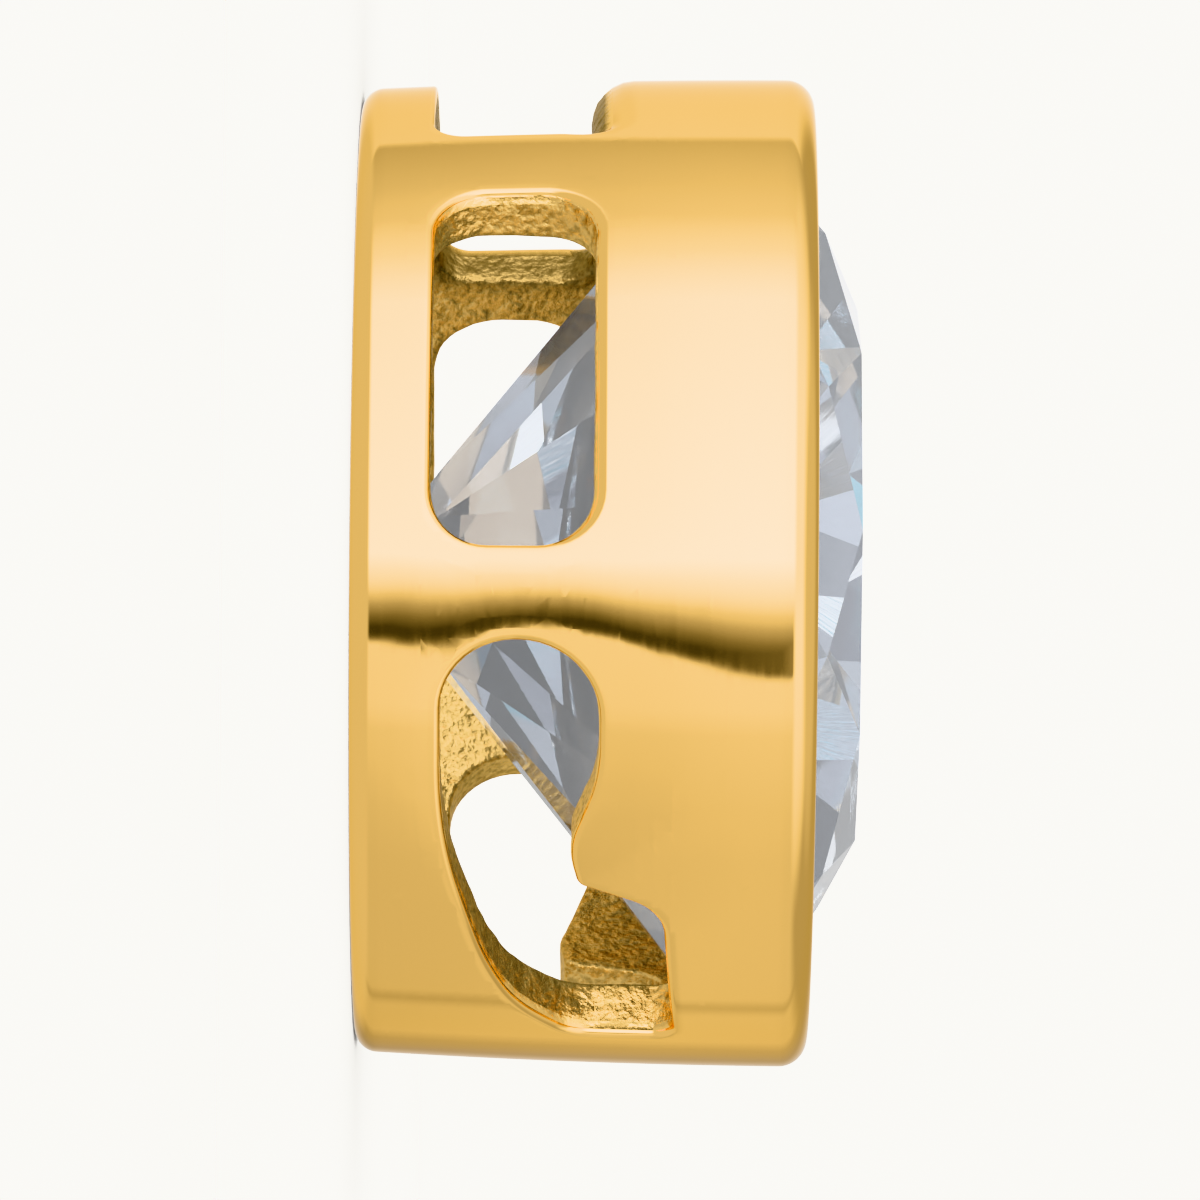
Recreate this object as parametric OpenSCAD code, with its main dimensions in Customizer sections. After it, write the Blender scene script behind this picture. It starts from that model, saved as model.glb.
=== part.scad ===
// Slide pendant: a round faceted stone in a pierced gold band.
// It lies on its back rim with the stone facing up (+Z). The pendant's top is towards +Y.
// Heights are measured up from the back rim. Angles on the band run from its top, down each side.

/* [Stone] */
// Diameter of the stone across its girdle
stone_d = 14; // [12:0.25:16]
// Width of the table, from point to point
table_w = 8.4; // [7:0.1:9.5]
// Slope of the kite facets up from the girdle plane, in degrees
crown_angle = 34; // [28:0.2:38]
// Slope of the main pavilion facets down from the girdle plane, in degrees
pavilion_angle = 38.2; // [36:0.2:43]
// Length of the star facets, seen from the front
star_len = 1.55; // [1:0.05:2]
// Length of the lower half facets in from the girdle, seen from the back
lower_half_len = 5.4; // [4:0.1:5.6]
// Thickness of the girdle at its thinnest places
girdle_h = 0.08; // [0.05:0.01:0.3]

/* [Setting] */
// Height of the culet above the back rim, so that it never touches a surface
culet_lift = 0.08; // [0.05:0.01:1]
// Gap between the stone and the metal round it
stone_gap = 0.05; // [0.03:0.01:0.1]
// Thickness of the wall outside the stone's girdle
rim_wall = 0.65; // [0.5:0.01:1]
// Width of the bearing ledge that the stone sits on
ledge_w = 0.25; // [0.15:0.01:0.5]
// Height of the lip's front face above the stone's girdle
lip_rise = 1.25; // [0.9:0.05:1.5]
// How far the lip reaches in over the stone's edge
lip_reach = 0.5; // [0.3:0.05:0.8]
// Width of the lip's inner bevel, seen from the front
lip_bevel = 0.35; // [0.2:0.05:0.4]

/* [Band] */
// How far the outside of the band leans out towards the front, in degrees
flare_angle = 1.6; // [0:0.1:3]
// Rounding of the front edge
front_edge_r = 0.42; // [0.2:0.02:0.5]
// Rounding of the outer back edge
back_edge_r = 0.34; // [0.1:0.02:0.4]
// Rounding between the lip's front face and its inner bevel
lip_edge_r = 0.1; // [0.05:0.01:0.15]
// Rounding of the inner back edge
inner_edge_r = 0.15; // [0.1:0.01:0.2]

/* [Top slot] */
// Angle from the top to each end of the slot
slot_angle = 37.6; // [25:0.2:40]
// Width of the bar behind the slot
slot_back_bar = 1.16; // [0.8:0.02:1.5]
// Width of the collar in front of the slot, up to the stone's girdle
slot_collar = 2.12; // [1.8:0.02:2.4]
// Radius of the slot's corners
slot_corner_r = 0.5; // [0.2:0.05:0.8]

/* [Upper windows] */
// Angle at the upper end of the left window
upper_left_start = 49.8; // [46:0.2:56]
// Angle at the upper end of the right window
upper_right_start = 44.6; // [43:0.2:56]
// Angle at the lower end of both windows
upper_end = 96.2; // [88:0.2:99]
// Width of the bar behind the left window
upper_left_back_bar = 1.2; // [0.8:0.02:1.5]
// Width of the bar behind the right window
upper_right_back_bar = 1.04; // [0.8:0.02:1.5]
// Width of the collar in front of the windows, up to the stone's girdle
upper_collar = 2.04; // [1.4:0.02:2.2]
// Radius of the left window's corners
upper_left_corner_r = 0.85; // [0.4:0.05:1.2]
// Radius of the right window's corners
upper_right_corner_r = 1.1; // [0.4:0.05:1.2]

/* [Lower windows] */
// Angle at the upper end of the windows
lower_start = 107; // [104:0.2:112]
// Angle at the lower end of the windows
lower_end = 167.6; // [160:0.2:169]
// Width of the bar behind the windows
lower_back_bar = 1.37; // [1:0.02:1.6]
// Width of the collar in front of the windows' toes, up to the stone's girdle
lower_collar = 0.76; // [0.5:0.02:1.2]

/* [Hidden] */
$fn = 96;

GOLD = "#E3B25A";
CLEAR = "#DCE6EA";

// A lower window's outline, clockwise from its back upper corner.
// Each row is a corner: how far it lies from the back side to the front side of the window,
// how far down the window, and the radius of its rounding, all as shares of the window's width or length.
// The waist and the toe below it lie lower on the right side than on the left.
ACROSS = 0;
ALONG = 1;
ROUNDING = 2;
LEFT_WAIST = [
    [0.54, 0.42, 0.35],
    [0.585, 0.505, 0.06],
    [0.945, 0.565, 0.22],
];
RIGHT_WAIST = [
    [0.50, 0.55, 0.35],
    [0.525, 0.65, 0.06],
    [0.945, 0.715, 0.22],
];
function leaf(waist) = [
    [0.00, 0.00, 0.31],
    [0.67, 0.00, 0.34],
    [0.67, 0.27, 0.80],
    each waist,
    [1.00, 1.00, 0.10],
    [0.56, 1.00, 0.20],
    [0.32, 0.865, 1.00],
    [0.20, 0.727, 2.80],
    [0.00, 0.388, 2.50],
];

// Stone
FOLDS = 8;
STEP = 360 / FOLDS;
stone_r = stone_d / 2;
table_r = table_w / 2;
girdle_sides = 2 * FOLDS;
girdle_point_r = stone_r / cos(180 / girdle_sides);
star_tip_r = table_r * cos(STEP / 2) + star_len;
lower_tip_r = stone_r - lower_half_len;
culet_z = culet_lift;
lower_edge_z = culet_z + girdle_point_r * tan(pavilion_angle);
upper_edge_z = lower_edge_z + girdle_h;
table_z = upper_edge_z + (girdle_point_r - table_r) * tan(crown_angle);

// Heights on the facets' own planes at a distance out along a kite's or a main's middle line
function kite_z(out) = table_z - (out - table_r) * tan(crown_angle);
function main_z(out) = culet_z + out * tan(pavilion_angle);
star_tip_z = kite_z(star_tip_r * cos(STEP / 2));
lower_tip_z = main_z(lower_tip_r * cos(STEP / 2));

// Slopes of the edges between two upper halves and between two lower halves.
// These edges stand out furthest next to the girdle, so the metal clears them.
upper_slope = (star_tip_z - upper_edge_z) / (girdle_point_r - star_tip_r);
lower_slope = (lower_edge_z - lower_tip_z) / (girdle_point_r - lower_tip_r);
function lip_foot_z(out) =
    upper_edge_z + (girdle_point_r - out) * upper_slope + stone_gap * norm([1, upper_slope]);
function ledge_z(out) =
    lower_edge_z - (girdle_point_r - out) * lower_slope - stone_gap * norm([1, lower_slope]);

// Band
girdle_z = lower_edge_z;
lip_z = upper_edge_z + lip_rise;
seat_r = stone_r + stone_gap;
inner_r = seat_r - ledge_w;
front_r = seat_r + rim_wall;
back_r = front_r - lip_z * tan(flare_angle);
lip_r = stone_r - lip_reach;

// How far the cutters start inside the wall and end outside it
CUT_SPARE = 0.4;
CORNER_STEPS = 6;
EDGE_STEPS = 6;

function ring(radius, z, count, turn = 0) =
    [for (i = [0 : count - 1]) [
        radius * cos(turn + i * 360 / count),
        radius * sin(turn + i * 360 / count),
        z
    ]];

function rounded_corner(before, at, after, radius, steps) =
    radius == 0 ? [at] :
    let (
        u = (before - at) / norm(before - at),
        v = (after - at) / norm(after - at),
        half = acos(u * v) / 2,
        reach = radius / tan(half),
        centre = at + (u + v) / norm(u + v) * radius / sin(half),
        first = at + u * reach - centre,
        last = at + v * reach - centre,
        turn = 180 - 2 * half,
        side = sign(first.x * last.y - first.y * last.x)
    )
    [for (i = [0 : steps])
        let (a = side * turn * i / steps)
        centre + [
            first.x * cos(a) - first.y * sin(a),
            first.x * sin(a) + first.y * cos(a)
        ]
    ];

function rounded_outline(corners, radii, steps) =
    let (n = len(corners))
    [for (i = [0 : n - 1])
        each rounded_corner(
            corners[(i + n - 1) % n], corners[i], corners[(i + 1) % n], radii[i], steps
        )
    ];

// Cuts through the wall, square to it all the way round.
// The outline is given as arc length along the outside and height, from the cut's middle angle.
module wall_cutter(middle, half_span, outline) {
    near = inner_r * cos(half_span) - CUT_SPARE;
    far = front_r + CUT_SPARE;
    flat = [for (p = outline) [near * tan(p.x / front_r * 180 / PI), p.y]];
    rotate([0, 0, 90 + middle])
        translate([near, 0, 0])
            rotate([90, 0, 90])
                linear_extrude(height = far - near, scale = [far / near, 1], slices = 1, segments = 0)
                    polygon(flat);
}

module window(start, end, back, front, corner_r) {
    half_span = (end - start) / 2;
    half_arc = half_span * PI / 180 * front_r;
    corners = [[-half_arc, back], [-half_arc, front], [half_arc, front], [half_arc, back]];
    wall_cutter((start + end) / 2, half_span, rounded_outline(corners, [for (c = corners) corner_r], CORNER_STEPS));
}

module lower_window(waist) {
    half_span = (lower_end - lower_start) / 2;
    length = 2 * half_span * PI / 180 * front_r;
    width = girdle_z - lower_collar - lower_back_bar;
    corners = [for (c = leaf(waist)) [c[ALONG] * length - length / 2, lower_back_bar + c[ACROSS] * width]];
    radii = [for (c = leaf(waist)) c[ROUNDING] * width];
    wall_cutter((lower_start + lower_end) / 2, half_span, rounded_outline(corners, radii, CORNER_STEPS));
}

// One side of the band, cut through: each corner's radius out, height and rounding
module band_section() {
    corners = [
        [inner_r, 0, inner_edge_r],
        [back_r, 0, back_edge_r],
        [front_r, lip_z, front_edge_r],
        [lip_r + lip_bevel, lip_z, lip_edge_r],
        [lip_r, lip_foot_z(lip_r), 0],
        [seat_r, lip_foot_z(seat_r), 0],
        [seat_r, ledge_z(seat_r), 0],
        [inner_r, ledge_z(inner_r), 0],
    ];
    polygon(rounded_outline([for (c = corners) [c.x, c.y]], [for (c = corners) c.z], EDGE_STEPS));
}

module mount() {
    color(GOLD)
    difference() {
        rotate([0, 0, -90]) rotate_extrude() band_section();
        window(-slot_angle, slot_angle, slot_back_bar, girdle_z - slot_collar, slot_corner_r);
        window(
            upper_left_start, upper_end, upper_left_back_bar, girdle_z - upper_collar, upper_left_corner_r
        );
        mirror([1, 0, 0])
            window(
                upper_right_start, upper_end, upper_right_back_bar, girdle_z - upper_collar, upper_right_corner_r
            );
        lower_window(LEFT_WAIST);
        mirror([1, 0, 0]) lower_window(RIGHT_WAIST);
    }
}

module stone() {
    table = ring(table_r, table_z, FOLDS);
    stars = ring(star_tip_r, star_tip_z, FOLDS, STEP / 2);
    upper = ring(girdle_point_r, upper_edge_z, girdle_sides);
    lower = ring(girdle_point_r, lower_edge_z, girdle_sides);
    tips = ring(lower_tip_r, lower_tip_z, FOLDS, STEP / 2);
    T = 0;
    S = T + FOLDS;
    U = S + FOLDS;
    L = U + girdle_sides;
    P = L + girdle_sides;
    CULET = P + FOLDS;
    faces = [
        [for (i = [FOLDS - 1 : -1 : 0]) T + i],
        for (i = [0 : FOLDS - 1])
            let (
                next = (i + 1) % FOLDS,
                last = (i + FOLDS - 1) % FOLDS,
                near = 2 * i,
                middle = 2 * i + 1,
                far = (2 * i + 2) % girdle_sides
            )
            each [
                [T + i, T + next, S + i],
                [T + i, S + i, U + near, S + last],
                [S + i, U + middle, U + near],
                [S + i, U + far, U + middle],
                [U + near, U + middle, L + middle, L + near],
                [U + middle, U + far, L + far, L + middle],
                [P + i, L + near, L + middle],
                [P + i, L + middle, L + far],
                [CULET, P + last, L + near, P + i],
            ]
    ];
    color(CLEAR)
    intersection() {
        polyhedron(points = concat(table, stars, upper, lower, tips, [[0, 0, culet_z]]), faces = faces);
        cylinder(r = stone_r, h = table_z + 1);
    }
}

mount();
stone();
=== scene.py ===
"""Slide pendant: a pierced gold band and the finish of its stone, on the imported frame."""

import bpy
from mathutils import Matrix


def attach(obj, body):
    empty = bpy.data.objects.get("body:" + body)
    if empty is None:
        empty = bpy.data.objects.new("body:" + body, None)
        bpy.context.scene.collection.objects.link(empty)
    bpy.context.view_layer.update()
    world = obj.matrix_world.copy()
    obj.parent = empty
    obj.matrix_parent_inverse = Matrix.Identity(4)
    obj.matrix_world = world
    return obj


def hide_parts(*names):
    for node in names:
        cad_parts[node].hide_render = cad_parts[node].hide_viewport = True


bl_info = {
    "name": "Slide pendant",
    "version": (1, 0, 0),
    "blender": (4, 5, 0),
    "location": "3D View > Sidebar > Pendant",
    "description": "A round faceted stone in a pierced gold band",
    "category": "Object",
}

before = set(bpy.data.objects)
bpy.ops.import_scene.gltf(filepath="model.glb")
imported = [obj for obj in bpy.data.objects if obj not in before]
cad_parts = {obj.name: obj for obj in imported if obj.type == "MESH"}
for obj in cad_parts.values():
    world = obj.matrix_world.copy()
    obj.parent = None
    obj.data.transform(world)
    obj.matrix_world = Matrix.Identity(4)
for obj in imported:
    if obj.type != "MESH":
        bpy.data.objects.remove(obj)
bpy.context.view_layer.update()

from math import acos, ceil, cos, degrees, exp, hypot, pi, radians, sin, tan
from typing import Callable, NamedTuple

import bmesh
import bpy
from mathutils import Matrix, Vector, kdtree

MM = 0.001

# The band is shaped flat, in millimetres, and bent into a ring at the end.
# Flat, X is the length of arc along the outside from the band's top, Y is the distance out from
# the front radius and Z is the height above the back rim.
TOP_TO_RIGHT = 1
TOP_TO_LEFT = -1


def length_prop(name, value, description):
    return bpy.props.FloatProperty(name=name, default=value, description=description)


def angle_prop(name, value, description):
    """An angle, given in degrees."""
    return bpy.props.FloatProperty(
        name=name, default=radians(value), description=description, subtype="ANGLE")


def share_prop(name, value, description):
    return bpy.props.FloatProperty(
        name=name, default=value, description=description, subtype="FACTOR")


def colour_prop(name, value, description):
    return bpy.props.FloatVectorProperty(
        name=name, default=value, description=description, size=3, subtype="COLOR")


class PendantBand(bpy.types.PropertyGroup):
    """Sizes of the gold band. Lengths are in millimetres."""

    front_r: length_prop("Front radius", 7.7, "Outer radius at the lip")
    inner_r: length_prop("Inner radius", 6.8, "Radius of the hollow behind the stone")
    seat_r: length_prop("Seat radius", 7.05, "Radius of the seat round the stone's girdle")
    lip_r: length_prop("Lip radius", 6.5, "Inner radius of the lip")
    lip_z: length_prop("Lip height", 7.026, "Height of the lip's front face")
    lip_bevel: length_prop("Lip bevel", 0.35, "Width of the lip's inner bevel")
    stone_r: length_prop("Stone radius", 7.0, "Radius of the stone's girdle")
    stone_gap: length_prop("Stone gap", 0.05, "Gap between the stone and the metal")
    girdle_z: length_prop("Girdle height", 5.696, "Height of the girdle's lower edge")
    girdle_h: length_prop("Girdle thickness", 0.08, "Thickness of the stone's girdle")
    flare: angle_prop("Flare", 1.6, "How far the outside leans out")
    crown: length_prop(
        "Crown", 0.05, "How far the outside bulges midway between its back and front")
    front_edge_r: length_prop("Front edge", 0.42, "Rounding of the front edge")
    back_edge_r: length_prop("Back edge", 0.34, "Rounding of the outer back edge")
    hollow_edge_r: length_prop("Hollow edge", 0.15, "Rounding of the inner back edge")
    lip_edge_r: length_prop("Lip edge", 0.1, "Rounding of the lip's inner bevel")
    dish: length_prop("Dish", 0.06, "How far polishing has sunk the outside at a window's edge")
    dish_reach: length_prop("Dish reach", 0.9, "How far from a window the sinking fades")
    relief: length_prop("Cast relief", 0.045, "Height of the lumps left by casting")
    relief_size: length_prop("Relief size", 0.4, "Size of the lumps left by casting")
    columns: bpy.props.IntProperty(
        name="Columns", description="Straight cuts round the ring", default=300)
    rows: bpy.props.IntProperty(
        name="Rows", description="Straight cuts across the outer and inner face", default=26)


class PendantWindows(bpy.types.PropertyGroup):
    """Sizes of the slot and the four side windows, in millimetres, and angles from the band's top.

    A bar is the metal behind a window, and a collar the metal in front, up to the girdle.
    """

    slot_angle: angle_prop("Slot's ends", 37.6, "Angle of the slot's ends")
    slot_bar: length_prop("Slot's bar", 1.16, "Width behind the slot")
    slot_collar: length_prop("Slot's collar", 2.12, "Width in front of the slot")
    slot_corner_r: length_prop("Slot's corners", 0.5, "Radius of the slot's corners")
    left_start: angle_prop("Left start", 49.8, "Where the left upper window starts")
    right_start: angle_prop("Right start", 44.6, "Where the right upper window starts")
    upper_end: angle_prop("Upper end", 96.2, "Where both upper windows end")
    left_bar: length_prop("Left bar", 1.2, "Width behind the left upper window")
    right_bar: length_prop("Right bar", 1.04, "Width behind the right upper window")
    upper_collar: length_prop("Upper collar", 2.04, "Width in front of the upper windows")
    left_corner_r: length_prop("Left corners", 0.85, "Radius of the left upper window's corners")
    right_corner_r: length_prop("Right corners", 1.1, "Radius of the right upper window's corners")
    lower_start: angle_prop("Lower start", 107, "Where the lower windows start")
    lower_end: angle_prop("Lower end", 167.6, "Where the lower windows end")
    lower_bar: length_prop("Lower bar", 1.37, "Width behind the lower windows")
    lower_collar: length_prop("Lower collar", 0.76, "Width in front of the lower windows' toes")
    edge_r: length_prop("Window edge", 0.1, "Softening of the windows' outer edges")
    inner_edge_r: length_prop("Inner edge", 0.08, "Softening of the windows' inner edges")
    upper_front_r: length_prop(
        "Upper window's front edge", 0.2, "Softening of the upper windows' front edges")
    slot_end_r: length_prop("Slot end edge", 0.06, "Softening of the slot's ends")
    slot_front_r: length_prop("Slot front edge", 0.64, "Softening of the slot's front edge")
    head_wall_lean: length_prop(
        "Head wall lean", 0.16,
        "How far the left upper window's wall leans in, at the end nearest the top")


class PendantFinish(bpy.types.PropertyGroup):
    """Colours and polish of the gold and the stone. Lengths are in millimetres."""

    gold: colour_prop("Gold", (0.96, 0.605, 0.19), "Polished gold")
    edge_tint: colour_prop(
        "Gold edge", (0.98, 0.83, 0.56), "Tint of the gold seen along its surface")
    cast_gold: colour_prop("Cast gold", (0.8, 0.545, 0.19), "Gold as it left the mould")
    # Painted shade: the gold is darkened to this grey for light inside the stone only
    painted_shade_in_stone: colour_prop(
        "Gold in the stone", (0.16, 0.17, 0.19),
        "What the gold gives to the light inside the stone")
    # Painted shadow: the gold is this dark grey for the floor's light only, so it shades the floor
    # round it and gives it no gold tint
    painted_floor_shadow: colour_prop(
        "Gold on the floor", (0.16, 0.15, 0.14), "What the gold gives to the floor's light")
    polish: share_prop("Polish", 0.05, "Roughness of the outside")
    mark_size: length_prop("Mark size", 0.12, "Size of the marks of the polishing wheel")
    cast_rough: share_prop("Cast roughness", 0.38, "Roughness inside")
    grain_size: length_prop("Grain size", 0.11, "Size of the cast skin's grain")
    stone: colour_prop("Stone", (0.9, 0.94, 1.0), "Colourless, a little cool")
    stone_ior: bpy.props.FloatProperty(
        name="Stone index", description="Index of refraction", default=2.16)
    streak_length: length_prop("Streak length", 0.9, "Length of the streaks on the stone's back")


class PendantStage(bpy.types.PropertyGroup):
    """Floor, backdrop and light."""

    backdrop: bpy.props.FloatVectorProperty(
        name="Backdrop", description="Pale colour behind the pendant",
        default=(1.875, 1.856, 1.781), size=3, soft_max=4, subtype="COLOR")
    soft: bpy.props.FloatProperty(
        name="Soft light", description="Strength of the even light on the floor", default=2.15)


def edit(piece):
    """Opens one piece in edit mode with nothing selected."""
    bpy.ops.object.select_all(action="DESELECT")
    piece.select_set(True)
    bpy.context.view_layer.objects.active = piece
    bpy.ops.object.mode_set(mode="EDIT")
    bpy.ops.mesh.select_mode(type="VERT")
    bpy.ops.mesh.select_all(action="DESELECT")


def pick(accepts):
    """Selects the vertices of the piece in hand that accepts() takes, and nothing else."""
    bpy.ops.mesh.select_all(action="DESELECT")
    sheet = bmesh.from_edit_mesh(bpy.context.edit_object.data)
    for corner in sheet.verts:
        corner.select = accepts(corner.co)
    sheet.select_flush(True)
    bmesh.update_edit_mesh(bpy.context.edit_object.data)


def pick_loop(places):
    """Selects the edges that join the places into a closed loop, and nothing else."""
    bpy.ops.mesh.select_mode(type="EDGE")
    bpy.ops.mesh.select_all(action="DESELECT")
    keys = [key(p) for p in places]
    pairs = {frozenset(pair) for pair in zip(keys, keys[1:] + keys[:1])}
    sheet = bmesh.from_edit_mesh(bpy.context.edit_object.data)
    for line in sheet.edges:
        if frozenset(key(v.co) for v in line.verts) in pairs:
            line.select = True
    bmesh.update_edit_mesh(bpy.context.edit_object.data)


def move_picked(old, new):
    """Moves the selected vertices, which lie at the old places, to the new ones."""
    where = {key(place): target for place, target in zip(old, new)}
    sheet = bmesh.from_edit_mesh(bpy.context.edit_object.data)
    for corner in sheet.verts:
        if corner.select:
            corner.co = where[key(corner.co)]
    bmesh.update_edit_mesh(bpy.context.edit_object.data)


def key(place):
    """A place rounded to a thousandth, by which it is found again."""
    return tuple(round(c, 3) for c in place)


def same(a, b):
    """Whether two lengths in the flat band are the same."""
    return abs(a - b) < 0.001


def in_section(place, corner):
    """Whether a place in the flat band lies at a corner of its section."""
    return same(place.y, corner.x) and same(place.z, corner.y)


def fade(value, start, end):
    """How far a value has come from start to end, from 0 to 1."""
    return max(0.0, min(1.0, (value - start) / (end - start)))


# Outlines are lists of a place, its normal into the metal, and the room for softening the edge
# there. A rounded corner has at least this many steps, none that turns further than this and none
# longer than this, and a straight run is split into pieces no longer than this.
ALL_THE_ROOM = 99.0
CORNER_STEPS = 4
STEP_TURN = 9
STEP_LENGTH = 0.16
RUN_LENGTH = 0.5


def rounded_corner(before, at, after, radius, step):
    """The outline of a rounded corner. Its normals point to the right of the way."""
    u, v = (before - at).normalized(), (after - at).normalized()
    way_in, way_out = -u, v
    n_in, n_out = Vector((way_in.y, -way_in.x)), Vector((way_out.y, -way_out.x))
    turn = way_in.angle_signed(way_out)
    if radius == 0:
        return [(at, (n_in + n_out).normalized(), ALL_THE_ROOM)]
    half = acos(max(-1.0, min(1.0, u.dot(v)))) / 2
    centre = at + (u + v).normalized() * radius / sin(half)
    first = at + u * radius / tan(half)
    count = max(CORNER_STEPS, ceil(abs(turn) * radius / step), ceil(degrees(abs(turn)) / STEP_TURN))
    side = 1 if (first - centre).dot(n_in) > 0 else -1
    points = []
    for i in range(count + 1):
        a = -turn * i / count
        n = Vector((n_in.x * cos(a) - n_in.y * sin(a), n_in.x * sin(a) + n_in.y * cos(a)))
        points.append((centre + n * radius * side, n, ALL_THE_ROOM if side > 0 else radius))
    return points


def rounded_outline(corners, radii, step):
    """An outline with each of its corners rounded."""
    n = len(corners)
    return [
        point
        for i in range(n)
        for point in rounded_corner(
            corners[i - 1], corners[i], corners[(i + 1) % n], radii[i], step)
    ]


def even_outline(points, longest, growth=0.7):
    """Splits the long straight runs, and lets the room for softening change gently."""
    full = []
    for i, (place, normal, room) in enumerate(points):
        after, normal_after, _ = points[(i + 1) % len(points)]
        full.append([place, normal, room])
        pieces = ceil((after - place).length / longest)
        for k in range(1, pieces):
            t = k / pieces
            turned = normal.lerp(normal_after, t).normalized()
            full.append([place.lerp(after, t), turned, ALL_THE_ROOM])
    n = len(full)
    for _ in range(2):
        for order in (range(n), range(n - 1, -1, -1)):
            for i in order:
                j = (i - order.step) % n
                gap = (full[i][0] - full[j][0]).length
                full[i][2] = min(full[i][2], full[j][2] + gap * growth)
    return full


def flat_side(corners, radii, side):
    """Puts an outline on its side of the band, running so that its normals point into the metal."""
    if side == TOP_TO_LEFT:
        corners = [Vector((-c.x, c.y)) for c in reversed(corners)]
        radii = list(reversed(radii))
    return even_outline(rounded_outline(corners, radii, STEP_LENGTH), RUN_LENGTH)


def window_outline(ends, back, front, corner_r, side):
    """A window with four corners, from the length of arc at its two ends."""
    s0, s1 = ends
    corners = [Vector((s0, back)), Vector((s1, back)), Vector((s1, front)), Vector((s0, front))]
    return flat_side(corners, [corner_r] * 4, side)


# A lower window's corners: how far from the back side to the front side, how far down, and the
# rounding, all as shares of the window's width or length. The waist lies lower on the right.
LEAF_HEAD = ((0.00, 0.00, 0.31), (0.67, 0.00, 0.34), (0.67, 0.27, 0.80))
LEAF_WAIST = {
    TOP_TO_LEFT: ((0.54, 0.42, 0.35), (0.585, 0.505, 0.06), (0.945, 0.565, 0.22)),
    TOP_TO_RIGHT: ((0.50, 0.55, 0.35), (0.525, 0.65, 0.06), (0.945, 0.715, 0.22)),
}
LEAF_FOOT = (
    (1.00, 1.00, 0.10), (0.56, 1.00, 0.20), (0.32, 0.865, 1.00), (0.20, 0.727, 2.80),
    (0.00, 0.388, 2.50),
)


def leaf_outline(ends, back, front, side):
    """A lower window, from the length of arc at its two ends."""
    s0, s1 = ends
    width = front - back
    leaf = [*reversed(LEAF_HEAD + LEAF_WAIST[side] + LEAF_FOOT)]
    corners = [Vector((s0 + along * (s1 - s0), back + across * width)) for across, along, _ in leaf]
    return flat_side(corners, [share * width for _, _, share in leaf], side)


class Window(NamedTuple):
    """A window in the flat band."""

    outline: list
    # How far its outer edge is softened, by the normal there
    softening: Callable
    # How polishing sank the outside near it: the share, and the degrees from the band's top
    # where the sinking starts to fade and where it is gone
    sinking: tuple = ()
    # How far its wall leans in, at the end nearest the band's top
    lean: float = 0.0


# Sinking by the upper and the lower windows
SUNK_BY_UPPER = (0.5, 90, 110)
SUNK_BY_LOWER = (1.0, 125, 145)
# The lean stops at this angle from the band's top
HEAD_END = radians(60)
# Rings round a window in the outer face: how far out, and the most as a share of the room
SHOULDERS = ((0.3, 0.92), (0.1, 0.8))
# The most that an edge is softened, as a share of the room
SOFT_SHARE = 0.55
# The ring round a window in the inner face, in the same way
INNER_SHOULDER = (0.2, 0.8)
EDGE_ANGLES = [radians(a) for a in (0, 15, 30, 45, 60, 75, 90)]
WALL_ROWS = 5

# Slopes of the stone's edges next to its girdle, up to the table and down to the culet
UPPER_SLOPE, LOWER_SLOPE = 0.838, 0.804
GIRDLE_SIDES = 16
# Straight steps in the rounded edges of the section
SECTION_STEP = 0.05
# How far beyond a rounded edge of the section a further cut holds the flat next to it
HOLD_OUTER_BACK, HOLD_OUTER_FRONT = 0.12, 0.2
HOLD_FRONT, HOLD_LIP = 0.06, 0.04
HOLD_RIM, HOLD_HOLLOW = 0.05, 0.1

# Where the cast skin begins and where it is whole, in millimetres: how far in from the polished
# outside, how far behind the girdle and how far from the back rim
CAST_INSIDE = (0.12, 0.18)
CAST_BEHIND = (0.25, 0.55)
CAST_AHEAD = (0.16, 0.31)
# The same for the painted shade on the walls at the slot's ends: how far in, and how far up the
# pendant
SLOT_SHADE_INSIDE = (0.1, 0.2)
SLOT_SHADE_ABOVE = (5.2, 5.4)


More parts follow.
